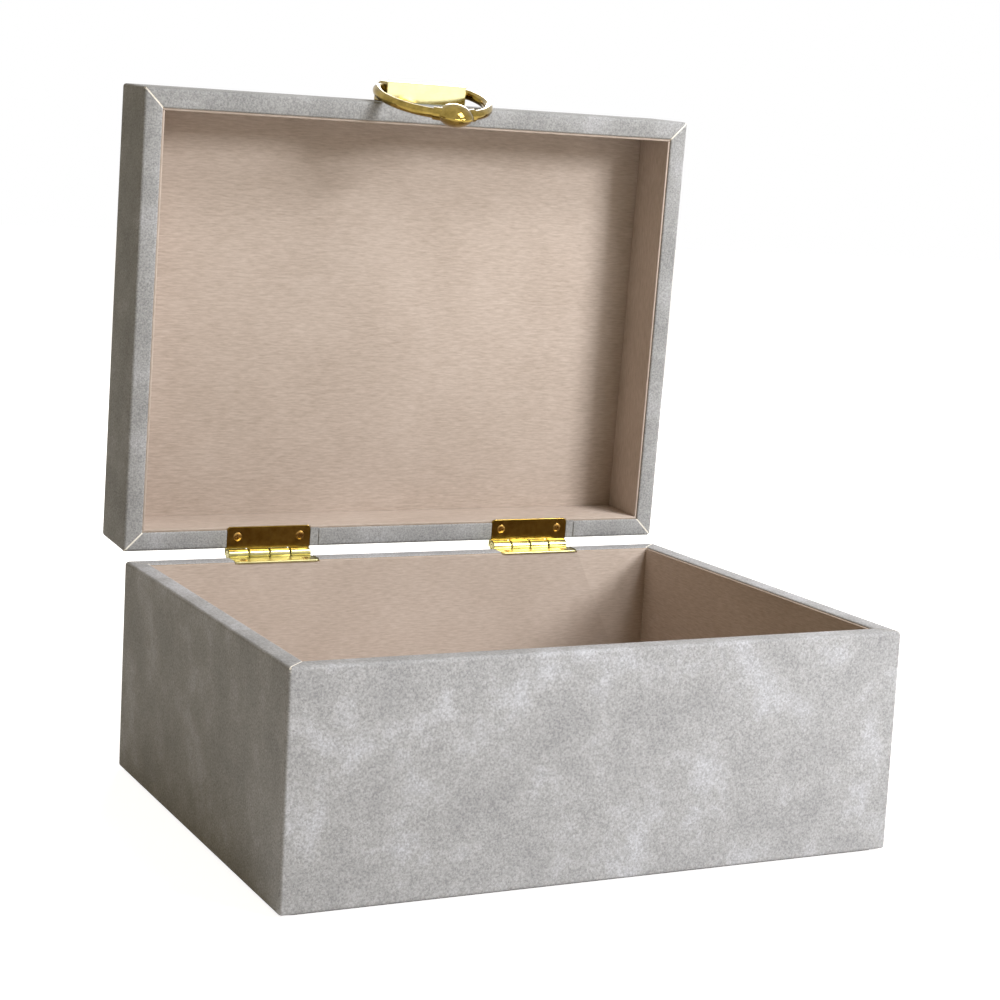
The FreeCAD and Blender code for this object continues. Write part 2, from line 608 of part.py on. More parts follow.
# The base, and the hinge pieces that stay with it.
base_wrap = wrap(BASE, "foot_round")
open_underside(base_wrap, BASE)
base_boards = wall_boards(BASE)
base_linings = linings(BASE)
let_in_hinges(BASE, base_wrap, base_boards["back"], base_linings["back"], "mortise_slack")
pieces = [base_wrap, felt_pad(), *base_boards.values(), *base_linings.values()]
for side, sign in SIDES:
    leaf = hinge_leaf("hinge_%s_base_leaf" % side, -1, BASE_KNUCKLES)
    pin = hinge_pin("hinge_%s_pin" % side)
    for item in (leaf, pin):
        bind(item, Placement__Base__x="%d * hinge_offset" % sign, Placement__Base__y=AXIS_Y,
             Placement__Base__z=AXIS_Z)
        pieces.append(item)
base_screws = hinge_screws("hinge_base_screws", -1)
bind(base_screws, Placement__Base__y=AXIS_Y, Placement__Base__z=AXIS_Z)
pieces.append(base_screws)

# The lid, and the hinge and pull pieces that ride on it.
lid_wrap = wrap(LID, "edge_round")
lid_boards = wall_boards(LID)
lid_linings = linings(LID)
let_in_hinges(LID, lid_wrap, lid_boards["back"], lid_linings["back"], "mortise_run")
inside = "%s - %s - overrun" % (LID_FRONT, BOARD_FACE)
for item in (lid_wrap, lid_boards["front"]):
    drill_for_pull(item, item.Name + "_pull_hole", inside, "%s + 2 * overrun" % BOARD_FACE,
                   "pull_screw_radius + screw_clearance")
drill_for_pull(lid_boards["front"], "pull_counterbore", inside, "pull_head_depth + overrun",
               "pull_head_radius + pull_head_clearance")
on_lid = [lid_wrap, *lid_boards.values(), *lid_linings.values(), hinge_screws("hinge_lid_screws", 1),
          pull_block(), pull_screws()]
for item in on_lid:
    place_on_lid(item)
pieces += on_lid
for side, sign in SIDES:
    leaf = hinge_leaf("hinge_%s_lid_leaf" % side, 1, LID_KNUCKLES)
    place_on_lid(leaf, "%d * hinge_offset" % sign)
    pieces.append(leaf)
pieces += [pull_rod(), pull_ring(), pull_bead()]

doc.recompute()
for item in doc.Objects:
    if "Invalid" in item.State or "Error" in item.State:
        raise RuntimeError("%s failed: %s" % (item.Label, item.State))
for piece in pieces:
    if piece.Shape.isNull() or not piece.Shape.isValid():
        raise RuntimeError("%s has no valid shape" % piece.Label)
os.makedirs("parts", exist_ok=True)
for piece in pieces:
    piece.Shape.exportStep("parts/%s.step" % piece.Label)
print(len(pieces), "pieces written")
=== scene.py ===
import bpy
import json
import math
from mathutils import Matrix, Vector


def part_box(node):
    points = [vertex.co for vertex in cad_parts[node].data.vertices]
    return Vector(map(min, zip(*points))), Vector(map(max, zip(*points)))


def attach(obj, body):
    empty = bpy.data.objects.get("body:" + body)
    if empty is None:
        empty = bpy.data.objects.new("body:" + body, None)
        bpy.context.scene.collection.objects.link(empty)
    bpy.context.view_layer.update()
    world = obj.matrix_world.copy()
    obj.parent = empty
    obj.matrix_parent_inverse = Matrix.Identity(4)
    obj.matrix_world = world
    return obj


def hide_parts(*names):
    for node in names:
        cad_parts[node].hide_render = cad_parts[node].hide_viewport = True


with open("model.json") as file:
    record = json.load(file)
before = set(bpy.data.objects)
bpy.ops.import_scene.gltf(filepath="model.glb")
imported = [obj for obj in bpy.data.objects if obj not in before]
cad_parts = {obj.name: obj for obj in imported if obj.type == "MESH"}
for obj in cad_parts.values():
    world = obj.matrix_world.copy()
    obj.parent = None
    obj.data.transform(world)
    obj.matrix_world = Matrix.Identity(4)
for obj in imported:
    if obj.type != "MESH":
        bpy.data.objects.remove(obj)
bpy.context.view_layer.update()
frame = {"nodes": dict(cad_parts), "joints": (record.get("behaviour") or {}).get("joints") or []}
NODES = frame["nodes"]
JOINTS = {joint["name"]: joint for joint in frame["joints"]}

# Sizes, in metres
MM = 0.001
MERGE_GAP = 0.002 * MM

# Wraps, linings and felt
RIM_WIDTH = 8.6 * MM
RIM_RETURN = 12 * MM
SUEDE_THICK = 0.7 * MM
SUEDE_EDGE = 1.5 * MM
SUEDE_RIM_EDGE = 0.9 * MM
FOOT_TURN = 14 * MM
MITRE_WIDTH = 0.8 * MM
MITRE_DEPTH = 0.12 * MM
CORNER_REACH = 16 * MM
LINING_DROP = 0.4 * MM
LINING_EDGE = 0.3 * MM
FELT_CORNER = 4 * MM
FELT_EDGE = 0.3 * MM

# Hinges and their seats
HINGE_OFFSET = 66.7 * MM
HINGE_WIDTH = 40 * MM
HINGE_SCREW_OFFSET = 15.1 * MM
SEAT_SLACK = 0.3 * MM
SEAT_RUN = 4.4 * MM
RUN_DEPTH = 0.35 * MM
SEAT_DEPTH = 1.42 * MM
SEAT_REACH = 10.3 * MM
KNUCKLE_REACH = 2.7 * MM
PLATE_START = 3.5 * MM
LEAF_EDGE = 0.3 * MM
HOLE_EDGE = 1 * MM
SCREW_HEAD_RADIUS = 2 * MM
SCREW_HEAD_DEPTH = 0.9 * MM
SCREW_SHANK_RADIUS = 1 * MM
SCREW_SHANK_LENGTH = 5 * MM
SCREW_TIP_LENGTH = 1.5 * MM
SCREW_TIP_SHARE = 0.15
SCREW_CROWN = 0.2 * MM
CROWN_STEPS = (0.35, 0.6)
RECESS_WIDTH = 0.5 * MM
RECESS_LENGTH = 2.4 * MM
RECESS_DEPTH = 0.6 * MM

# Pull
PULL_WIDTH = 39.5 * MM
BLOCK_ROLL = 8 * MM
BLOCK_EDGE = 0.5 * MM
WIRE_RADIUS = 2.25 * MM
WIRE_BEND = 3.5 * MM
EYE_GAP = 0.3 * MM
ROD_RADIUS = 1.2 * MM
ROD_END = 21.5 * MM
ROD_EDGE = 0.2 * MM

# Angles. Edges blunter than a piece's smooth angle are shaded round
LID_STAND_ANGLE = math.radians(93)
RING_REST_ANGLE = math.radians(106.8)
SHARP_ANGLE = math.radians(40)
FLAT_ANGLE = math.radians(0.6)
CLOTH_SMOOTH = math.radians(35)
BRASS_SMOOTH = math.radians(32)
WIRE_SMOOTH = math.radians(40)
SCREW_SMOOTH = math.radians(25)
BASE_SCREW_TURNS = (12, 47, 71, 30)
LID_SCREW_TURNS = (8, 38, 25, 62)

# A face counts as facing a way when its normal's share in that direction is larger than this
FACING = 0.5
SLIT_FACING = 0.2

# The lid's own frame is a tray with its rim up, turned about the hinge axis
HINGE_AXIS = Vector(JOINTS["lid_hinge"]["pos_m"])
ON_BASE = Matrix.Identity(4)
ON_LID = Matrix.Translation(HINGE_AXIS) @ Matrix.Rotation(LID_STAND_ANGLE, 4, "X")
# The ring's own frame has the rod along X and the ring's far side along +Z
RING_PIVOT = Vector(JOINTS["pull_ring_swing"]["pos_m"])
ON_RING = Matrix.Translation(RING_PIVOT) @ Matrix.Rotation(RING_REST_ANGLE, 4, "X")


def own_box(node, place):
    """Lowest and highest corner of a node in the frame of the tray that carries it."""
    back = place.inverted()
    points = [back @ vertex.co for vertex in NODES[node].data.vertices]
    low = Vector(min(p[i] for p in points) for i in range(3))
    high = Vector(max(p[i] for p in points) for i in range(3))
    return low, high


# Materials

def hex_colour(text):
    """An sRGB hex value as linear red, green, blue and full alpha."""
    parts = [int(text[i:i + 2], 16) / 255 for i in (1, 3, 5)]
    return [c / 12.92 if c <= 0.04045 else ((c + 0.055) / 1.055) ** 2.4 for c in parts] + [1]


def per_size(millimetres):
    """The texture scale whose features measure about this many millimetres."""
    return 1 / (millimetres * MM)


def add(tree, kind, inputs=None, **settings):
    """Adds a node, with its settings, and sets or links its inputs."""
    node = tree.nodes.new(kind)
    for name, value in settings.items():
        setattr(node, name, value)
    for socket, value in (inputs or {}).items():
        if isinstance(value, bpy.types.NodeSocket):
            tree.links.new(value, node.inputs[socket])
        else:
            node.inputs[socket].default_value = value
    return node


def new_material(name):
    """An empty node material with its tree, its shader and the Object coordinates."""
    material = bpy.data.materials.new(name)
    material.use_nodes = True
    tree = material.node_tree
    shader = tree.nodes["Principled BSDF"]
    return material, tree, shader, add(tree, "ShaderNodeTexCoord").outputs["Object"]


def set_ramp(ramp, stops):
    """Gives a colour ramp its stops, each a place and an sRGB hex value."""
    elements = ramp.color_ramp.elements
    while len(elements) < len(stops):
        elements.new(0.5)
    for element, (place, colour) in zip(elements, stops):
        element.position = place
        element.color = hex_colour(colour)


def faux_suede(name, dark, middle, light):
    """Polyester microfibre with a short brushed nap: matt, clouded where the nap lies, finely speckled."""
    material, tree, shader, place = new_material(name)
    clouds = add(tree, "ShaderNodeTexNoise", {
        "Vector": place, "Scale": per_size(26), "Detail": 5.0, "Roughness": 0.62})
    nap = add(tree, "ShaderNodeValToRGB", {"Fac": clouds.outputs["Fac"]})
    set_ramp(nap, [(0.36, dark), (0.52, middle), (0.66, light)])
    # The fibres are about 0.2 mm across, drawn at 0.8 mm so that they show
    fibres = add(tree, "ShaderNodeTexNoise", {
        "Vector": place, "Scale": per_size(0.8), "Detail": 2.0, "Roughness": 0.7})
    speckle = add(tree, "ShaderNodeMapRange", {
        "Value": fibres.outputs["Fac"], "From Min": 0.3, "From Max": 0.7, "To Min": 0.7, "To Max": 1.26})
    cloth = add(tree, "ShaderNodeVectorMath", {
        0: nap.outputs["Color"], "Scale": speckle.outputs["Result"]}, operation="SCALE")
    bump = add(tree, "ShaderNodeBump", {
        "Height": fibres.outputs["Fac"], "Strength": 0.4, "Distance": 0.25 * MM})
    tree.links.new(cloth.outputs["Vector"], shader.inputs["Base Color"])
    tree.links.new(bump.outputs["Normal"], shader.inputs["Normal"])
    shader.inputs["Roughness"].default_value = 0.95
    shader.inputs["Specular IOR Level"].default_value = 0.15
    shader.inputs["Sheen Weight"].default_value = 0.06
    shader.inputs["Sheen Roughness"].default_value = 0.5
    return material


def suede_backing():
    """The knitted backing of the faux suede, cream, seen at the cut edges of the mitres."""
    material, tree, shader, place = new_material("suede_backing")
    threads = add(tree, "ShaderNodeTexNoise", {"Vector": place, "Scale": per_size(0.8), "Detail": 2.0})
    ramp = add(tree, "ShaderNodeValToRGB", {"Fac": threads.outputs["Fac"]})
    set_ramp(ramp, [(0.3, "#efeae0"), (0.7, "#fdfaf3")])
    tree.links.new(ramp.outputs["Color"], shader.inputs["Base Color"])
    shader.inputs["Roughness"].default_value = 0.9
    return material


def linen(name, thread_axis):
    """Woven cloth on card: slubby threads run across the panel, so it is finely streaked along one axis."""
    material, tree, shader, place = new_material(name)
    # Threads are about 0.3 mm thick, drawn at 0.7 mm so that they show, with slubs about 5 mm long
    sizes = [per_size(5) if axis == thread_axis else per_size(0.7) for axis in "XYZ"]
    along = add(tree, "ShaderNodeMapping", {"Vector": place, "Scale": sizes})
    slubs = add(tree, "ShaderNodeTexNoise", {
        "Vector": along.outputs["Vector"], "Scale": 1.0, "Detail": 3.0, "Roughness": 0.65})
    clouds = add(tree, "ShaderNodeTexNoise", {
        "Vector": place, "Scale": per_size(40), "Detail": 3.0, "Roughness": 0.6})
    cloud_share = 0.3
    mixed = add(tree, "ShaderNodeMath", {0: clouds.outputs["Fac"], 1: cloud_share}, operation="MULTIPLY")
    mixed = add(tree, "ShaderNodeMath", {
        0: slubs.outputs["Fac"], 1: 1 - cloud_share, 2: mixed.outputs[0]}, operation="MULTIPLY_ADD")
    ramp = add(tree, "ShaderNodeValToRGB", {"Fac": mixed.outputs[0]})
    set_ramp(ramp, [(0.33, "#b2a499"), (0.5, "#c1b3a9"), (0.66, "#cdc0b7")])
    bump = add(tree, "ShaderNodeBump", {
        "Height": slubs.outputs["Fac"], "Strength": 0.3, "Distance": 0.2 * MM})
    tree.links.new(ramp.outputs["Color"], shader.inputs["Base Color"])
    tree.links.new(bump.outputs["Normal"], shader.inputs["Normal"])
    shader.inputs["Roughness"].default_value = 0.85
    shader.inputs["Specular IOR Level"].default_value = 0.15
    return material


def brass(name, light, dark, roughness):
    """Polished and lacquered brass: a clear yellow metal with faint cloudy handling marks."""
    material, tree, shader, place = new_material(name)
    marks = add(tree, "ShaderNodeTexNoise", {
        "Vector": place, "Scale": per_size(5), "Detail": 4.0, "Roughness": 0.6})
    ramp = add(tree, "ShaderNodeValToRGB", {"Fac": marks.outputs["Fac"]})
    set_ramp(ramp, [(0.35, dark), (0.65, light)])
    rough = add(tree, "ShaderNodeMapRange", {
        "Value": marks.outputs["Fac"], "To Min": roughness * 0.8, "To Max": roughness * 1.3})
    # Polishing lines are finer than 0.1 mm, drawn at 0.6 mm so that they show
    lines = add(tree, "ShaderNodeTexNoise", {"Vector": place, "Scale": per_size(0.6), "Detail": 2.0})
    bump = add(tree, "ShaderNodeBump", {
        "Height": lines.outputs["Fac"], "Strength": 0.02, "Distance": 0.05 * MM})
    tree.links.new(ramp.outputs["Color"], shader.inputs["Base Color"])
    tree.links.new(rough.outputs["Result"], shader.inputs["Roughness"])
    tree.links.new(bump.outputs["Normal"], shader.inputs["Normal"])
    shader.inputs["Metallic"].default_value = 1.0
    return material


def fibreboard():
    """Medium-density fibreboard, sawn: pale brown with fine flecks."""
    material, tree, shader, place = new_material("fibreboard")
    flecks = add(tree, "ShaderNodeTexNoise", {"Vector": place, "Scale": per_size(0.9), "Detail": 4.0})
    ramp = add(tree, "ShaderNodeValToRGB", {"Fac": flecks.outputs["Fac"]})
    set_ramp(ramp, [(0.3, "#a58a68"), (0.7, "#c9b18f")])
    tree.links.new(ramp.outputs["Color"], shader.inputs["Base Color"])
    shader.inputs["Roughness"].default_value = 0.85
    return material


def felt():
    """Pressed felt, charcoal: matt, with matted fibres."""
    material, tree, shader, place = new_material("pressed_felt")
    fibres = add(tree, "ShaderNodeTexNoise", {
        "Vector": place, "Scale": per_size(1.2), "Detail": 5.0, "Roughness": 0.7, "Distortion": 1.5})
    ramp = add(tree, "ShaderNodeValToRGB", {"Fac": fibres.outputs["Fac"]})
    set_ramp(ramp, [(0.3, "#2c2b2a"), (0.7, "#4a4846")])
    bump = add(tree, "ShaderNodeBump", {
        "Height": fibres.outputs["Fac"], "Strength": 0.5, "Distance": 0.3 * MM})
    tree.links.new(ramp.outputs["Color"], shader.inputs["Base Color"])
    tree.links.new(bump.outputs["Normal"], shader.inputs["Normal"])
    shader.inputs["Roughness"].default_value = 0.95
    return material


# The lid's suede is a darker copy of the base's suede: painted shade, standing in for the weaker light on the
# lid
BASE_SUEDE = faux_suede("faux_suede_base", "#a6a7ab", "#b0b1b5", "#bfc1c8")
LID_SUEDE_PAINTED_SHADE = faux_suede("faux_suede_lid_painted_shade", "#999a9c", "#a3a4a6", "#b0b1b5")
BACKING = suede_backing()
LINEN_ACROSS = linen("linen_across", "X")
LINEN_SIDE = linen("linen_side", "Y")
LINEN_SIDE_LID = linen("linen_side_lid", "Z")
# The hinge's one brass in three tones: painted shade on the lid leaf, painted light on the base leaf, and a
# lighter tone than the lid leaf on the knuckles and pins
LID_LEAF_BRASS_PAINTED_SHADE = brass("lid_leaf_brass_painted_shade", "#b0964c", "#967a36", 0.12)
BASE_LEAF_BRASS_PAINTED_LIGHT = brass("base_leaf_brass_painted_light", "#dcd4a0", "#d0c78e", 0.3)
KNUCKLE_BRASS_PAINTED_LIGHT = brass("knuckle_brass_painted_light", "#b9b17c", "#a9a068", 0.12)
PULL_BRASS = brass("pull_brass", "#a38c4b", "#7f6a31", 0.1)
# A pale copy of the pull's brass for the block's faces: a painted reflection of the lamp
BLOCK_BRASS_PAINTED_REFLECTION = brass("block_brass_painted_reflection", "#ddd7a6", "#d6cf9a", 0.12)
SCREW_BRASS = brass("screw_brass", "#b8914f", "#94703a", 0.25)
BOARD = fibreboard()
FELT = felt()


# Modelling steps

def select_only(piece):
    bpy.ops.object.select_all(action="DESELECT")
    piece.select_set(True)
    bpy.context.view_layer.objects.active = piece


def start_block(name, low, high):
    """A block between two corners, the only thing selected."""
    bpy.ops.object.select_all(action="DESELECT")
    bpy.ops.mesh.primitive_cube_add(size=1, location=(low + high) / 2)
    block = bpy.context.object
    block.name = name
    block.data.name = name
    block.scale = high - low
    bpy.ops.object.transform_apply(location=True, rotation=True, scale=True)
    return block


def start_edit(piece, kind, wanted):
    """Goes into edit mode with just the wanted vertices, edges or faces selected."""
    bpy.context.view_layer.objects.active = piece
    bpy.ops.object.mode_set(mode="EDIT")
    bpy.ops.mesh.select_mode(type=kind)
    bpy.ops.mesh.select_all(action="DESELECT")
    bpy.ops.object.mode_set(mode="OBJECT")
    mesh = piece.data
    items = {"VERT": mesh.vertices, "EDGE": mesh.edges, "FACE": mesh.polygons}[kind]
    for item in items:
        item.select = wanted(item)
    bpy.ops.object.mode_set(mode="EDIT")


def end_edit():
    bpy.ops.object.mode_set(mode="OBJECT")


def ends(piece, edge):
    """The two end points of an edge."""
    return [piece.data.vertices[i].co for i in edge.vertices]


def bevel_edges(piece, wanted, width, segments):
    """Rounds the wanted edges of a piece."""
    start_edit(piece, "EDGE", wanted)
    bpy.ops.mesh.bevel(offset=width, segments=segments, affect="EDGES")
    end_edit()


def second_material(piece, material, wanted):
    """Gives the wanted faces of a piece another material."""
    piece.data.materials.append(material)
    start_edit(piece, "FACE", wanted)
    piece.active_material_index = 1
    bpy.ops.object.material_slot_assign()
    end_edit()


def finish_modifier(piece, kind, **settings):
    """Adds a modifier and applies it."""
    select_only(piece)
    modifier = piece.modifiers.new(kind.title(), kind)
    for name, value in settings.items():
        setattr(modifier, name, value)
    bpy.ops.object.modifier_apply(modifier=modifier.name)


def smooth_faces(piece, angle):
    select_only(piece)
    bpy.ops.object.shade_smooth_by_angle(angle=angle)


def put_in_place(piece, place):
    """Moves a finished piece from its own frame to the part's frame, and applies that to the mesh."""
    select_only(piece)
    piece.matrix_world = place
    bpy.ops.object.transform_apply(location=True, rotation=True, scale=True)


def hand_over(piece, body, slot, *nodes):
    """The piece rides on its body and stands in for its nodes, which are hidden; the slot is not used."""
    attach(piece, body)
    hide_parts(*nodes)


def cut_back_rim(piece, place, rim, start, end, depth):
    """Lets a seat into a tray's back rim at each hinge, from a start to an end beside the hinge's middle."""
    low, high = own_box("base_wrap", ON_BASE) if place is ON_BASE else own_box("lid_wrap", ON_LID)
    # The base's own frame has the hinges at its far end, and the lid's at its near end
    back = high.y if place is ON_BASE else low.y
    for middle in (-HINGE_OFFSET, HINGE_OFFSET):
        seat = start_block(
            "seat",
            Vector((middle + start, back - SEAT_REACH, rim - depth)),
            Vector((middle + end, back + SEAT_REACH, rim + depth)))
        finish_modifier(piece, "BOOLEAN", object=seat, operation="DIFFERENCE", solver="EXACT")
        bpy.data.objects.remove(seat)


def cut_leaf_seats(piece, place, rim):
    """Cuts the seats of the two hinge leaves."""
    reach = HINGE_WIDTH / 2 + SEAT_SLACK
    cut_back_rim(piece, place, rim, -reach, reach, SEAT_DEPTH)


# The faux suede wraps

def cut_mitre(piece, corner, across):
    """Opens a narrow slit across the rim at a corner, where the wrap's folded ends meet."""

    def on_rim(face):
        return face.center.z > corner.z - 2 * SUEDE_EDGE

    def in_slit(face):
        from_corner = face.center - corner
        beside = abs(from_corner.dot(across)) < MITRE_WIDTH / 2
        return beside and from_corner.to_2d().length < CORNER_REACH and face.normal.z > SLIT_FACING

    for side in (-1, 1):
        start_edit(piece, "FACE", on_rim)
        bpy.ops.mesh.bisect(plane_co=corner + across * side * MITRE_WIDTH / 2, plane_no=across)
        end_edit()
    start_edit(piece, "FACE", in_slit)
    bpy.ops.mesh.extrude_region_move(TRANSFORM_OT_translate={"value": (0, 0, -MITRE_DEPTH)})
    piece.active_material_index = 1
    bpy.ops.object.material_slot_assign()
    end_edit()


def suede_wrap(name, node, place, closed, suede, body):
    """The wrap of one tray: round the walls, over the rim, down behind the lining, and over or under."""
    low, high = own_box(node, place)
    piece = start_block(name, low, high)
    start_edit(piece, "FACE", lambda face: face.normal.z > FACING)
    bpy.ops.mesh.inset(thickness=RIM_WIDTH)
    bpy.ops.mesh.extrude_region_move(TRANSFORM_OT_translate={"value": (0, 0, -RIM_RETURN)})
    bpy.ops.mesh.delete(type="FACE")
    end_edit()
    if not closed:
        start_edit(piece, "FACE", lambda face: face.normal.z < -FACING)
        bpy.ops.mesh.inset(thickness=FOOT_TURN)
        bpy.ops.mesh.delete(type="FACE")
        end_edit()

    def outer(edge):
        a, b = ends(piece, edge)
        middle = (a + b) / 2
        near_x = min(abs(middle.x - low.x), abs(middle.x - high.x)) < MERGE_GAP
        near_y = min(abs(middle.y - low.y), abs(middle.y - high.y)) < MERGE_GAP
        near_z = min(abs(middle.z - low.z), abs(middle.z - high.z)) < MERGE_GAP
        return near_x + near_y + near_z >= 2

    def inner(edge):
        a, b = ends(piece, edge)
        at_top = abs(a.z - high.z) < MERGE_GAP and abs(b.z - high.z) < MERGE_GAP
        inside = all(low.x + RIM_WIDTH / 2 < p.x < high.x - RIM_WIDTH / 2 for p in (a, b))
        inside = inside and all(low.y + RIM_WIDTH / 2 < p.y < high.y - RIM_WIDTH / 2 for p in (a, b))
        return at_top and inside

    bevel_edges(piece, outer, SUEDE_EDGE, segments=5)
    bevel_edges(piece, inner, SUEDE_RIM_EDGE, segments=3)
    piece.data.materials.append(suede)
    piece.data.materials.append(BACKING)
    for side_x, x in ((-1, low.x), (1, high.x)):
        for side_y, y in ((-1, low.y), (1, high.y)):
            cut_mitre(piece, Vector((x, y, high.z)), Vector((side_y, -side_x, 0)).normalized())
    finish_modifier(piece, "SOLIDIFY", thickness=SUEDE_THICK, offset=-1)
    cut_leaf_seats(piece, place, high.z)
    if closed:
        # In the lid the seats run on past the leaves, and the cloth is pressed down there
        cut_back_rim(piece, place, high.z, HINGE_WIDTH / 2, HINGE_WIDTH / 2 + SEAT_RUN, RUN_DEPTH)
    put_in_place(piece, place)
    smooth_faces(piece, CLOTH_SMOOTH)
    hand_over(piece, body, "suede", node)


suede_wrap("base_suede", "base_wrap", ON_BASE, False, BASE_SUEDE, "base")
suede_wrap("lid_suede", "lid_wrap", ON_LID, True, LID_SUEDE_PAINTED_SHADE, "lid")


# The linings, felt pad and boards

def lining_panel(node, place, cloth, body):
    """Cloth folded round a card: a thin panel with soft edges, a little lower than the rim."""
    low, high = own_box(node, place)
    size = high - low
    if size.z > size.x or size.z > size.y:
        # A wall's panel ends below the rim
        high.z -= LINING_DROP
    piece = start_block(node + "_cloth", low, high)
    bevel_edges(piece, lambda edge: True, LINING_EDGE, segments=3)
    piece.data.materials.append(cloth)
    if node.endswith("_back_lining"):
        cut_leaf_seats(piece, place, own_box(body + "_wrap", place)[1].z)
    put_in_place(piece, place)
    smooth_faces(piece, CLOTH_SMOOTH)
    hand_over(piece, body, "lining", node)


for tray, place in (("base", ON_BASE), ("lid", ON_LID)):
    floor = "floor" if tray == "base" else "top"
    sides = LINEN_SIDE if tray == "base" else LINEN_SIDE_LID
    for wall in ("front", "back", floor):
        lining_panel(f"{tray}_{wall}_lining", place, LINEN_ACROSS, tray)
    for wall in ("left", "right"):
        lining_panel(f"{tray}_{wall}_lining", place, sides, tray)

def felt_pad():
    """Felt cut with round corners and soft edges, under the base."""
    low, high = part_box("base_felt")
    pad = start_block("felt_pad", low, high)

    def upright(edge):
        a, b = ends(pad, edge)
        return abs(a.z - b.z) > MERGE_GAP

    bevel_edges(pad, upright, FELT_CORNER, segments=8)
    start_edit(pad, "FACE", lambda face: abs(face.normal.z) > FACING)
    bpy.ops.mesh.bevel(offset=FELT_EDGE, segments=2, affect="EDGES")
    end_edit()
    pad.data.materials.append(FELT)
    smooth_faces(pad, CLOTH_SMOOTH)
    hand_over(pad, "base", "felt", "base_felt")


felt_pad()


def paint(node, material):
    """A CAD node keeps its shape and gets its material."""
    NODES[node].data.materials.clear()
    NODES[node].data.materials.append(material)


for node in NODES:
    if node.endswith("_board"):
        paint(node, BOARD)


# Brass pieces that keep the CAD shape, with their edges eased

def merged_copy(name, node):
    """A copy of a node with its loose triangles merged to plain faces."""
    piece = bpy.data.objects.new(name, NODES[node].data.copy())
    bpy.context.scene.collection.objects.link(piece)
    start_edit(piece, "VERT", lambda vertex: True)
    bpy.ops.mesh.remove_doubles(threshold=MERGE_GAP)
    bpy.ops.mesh.dissolve_limited(angle_limit=FLAT_ANGLE)
    end_edit()
    return piece


def finish_brass(piece, node, material, width, body):
    """Rounds the sharp edges of a copy by a width, keeps its flat faces flat to the eye and hands it over."""
    if width:
        finish_modifier(
            piece, "BEVEL", width=width, segments=2, limit_method="ANGLE", angle_limit=SHARP_ANGLE)
    piece.data.materials.clear()
    piece.data.materials.append(material)
    smooth_faces(piece, BRASS_SMOOTH)
    finish_modifier(piece, "WEIGHTED_NORMAL", weight=80, keep_sharp=True)
    hand_over(piece, body, "brass", node)


def on_knuckle(face):
    """Whether a face of a hinge leaf is on its rolled knuckles."""
    return (face.center - HINGE_AXIS).yz.length < KNUCKLE_REACH


def ease_leaf(leaf):
    """Rounds the sharp edges of a leaf's plate, but not its knuckles or the rims of its screw holes."""
    start_edit(leaf, "EDGE", lambda edge: False)
    bpy.ops.mesh.edges_select_sharp(sharpness=SHARP_ANGLE)
    end_edit()
    sharp = set()
    for edge in leaf.data.edges:
        a, b = ends(leaf, edge)
        from_middle = abs(abs((a.x + b.x) / 2) - HINGE_OFFSET)
        at_hole = abs(from_middle - HINGE_SCREW_OFFSET) < SCREW_HEAD_RADIUS + LEAF_EDGE
        on_rim = at_hole and (a - b).length < HOLE_EDGE
        on_plate = all((point - HINGE_AXIS).yz.length > PLATE_START for point in (a, b))
        if edge.select and on_plate and not on_rim:
            sharp.add(edge.index)
    bevel_edges(leaf, lambda edge: edge.index in sharp, LEAF_EDGE, segments=2)


def hinge_leaf(side, body):
    """One leaf of a hinge with rolled knuckles, its plate and knuckles in tones of one brass that are painted
    light and shade.
    """
    node = f"hinge_{side}_{body}_leaf"
    leaf = merged_copy(node + "_brass", node)
    ease_leaf(leaf)
    # Painted light: the base leaf's brass is pale. Painted shade: the lid leaf's brass is dark
    finish_brass(leaf, node, BASE_LEAF_BRASS_PAINTED_LIGHT if body == "base" else LID_LEAF_BRASS_PAINTED_SHADE, 0, body)
    second_material(leaf, KNUCKLE_BRASS_PAINTED_LIGHT, on_knuckle)


for side in ("left", "right"):
    hinge_leaf(side, "base")
    hinge_leaf(side, "lid")
    paint(f"hinge_{side}_pin", KNUCKLE_BRASS_PAINTED_LIGHT)


# The pull

def ring_wire():
    """Round wire bent to a ring, with both ends bent in to the rod. Half is swept, then mirrored."""
    high = own_box("pull_ring", ON_RING)[1]
    ring_radius = high.x - WIRE_RADIUS
    centre = high.z - WIRE_RADIUS - ring_radius
    bend_x = math.sqrt((ring_radius - WIRE_BEND) ** 2 - (centre - WIRE_BEND) ** 2)
    bpy.ops.object.select_all(action="DESELECT")
    bpy.ops.mesh.primitive_circle_add(
        vertices=24, radius=WIRE_RADIUS, location=(0, 0, centre + ring_radius), rotation=(0, math.pi / 2, 0))
    wire = bpy.context.object
    wire.name = "pull_ring_wire"
    bpy.ops.object.transform_apply(location=True, rotation=True, scale=True)
    start_edit(wire, "EDGE", lambda edge: True)
    sweep = math.atan2(bend_x, WIRE_BEND - centre)
    bpy.ops.mesh.spin(steps=72, angle=-sweep, center=(0, 0, centre), axis=(0, 1, 0))
    bpy.ops.mesh.spin(steps=20, angle=-(math.pi - sweep), center=(bend_x, 0, WIRE_BEND), axis=(0, 1, 0))
    bpy.ops.mesh.extrude_region_move(
        TRANSFORM_OT_translate={"value": (PULL_WIDTH / 2 + EYE_GAP - bend_x, 0, 0)})
    bpy.ops.mesh.edge_face_add()
    end_edit()
    finish_modifier(wire, "MIRROR", use_axis=(True, False, False), merge_threshold=MERGE_GAP)
    start_edit(wire, "VERT", lambda vertex: True)
    bpy.ops.mesh.remove_doubles(threshold=MERGE_GAP)
    bpy.ops.mesh.normals_make_consistent(inside=False)
    end_edit()
    wire.data.materials.append(PULL_BRASS)
    put_in_place(wire, ON_RING)
    smooth_faces(wire, WIRE_SMOOTH)
    hand_over(wire, "pull_ring", "brass", "pull_ring")


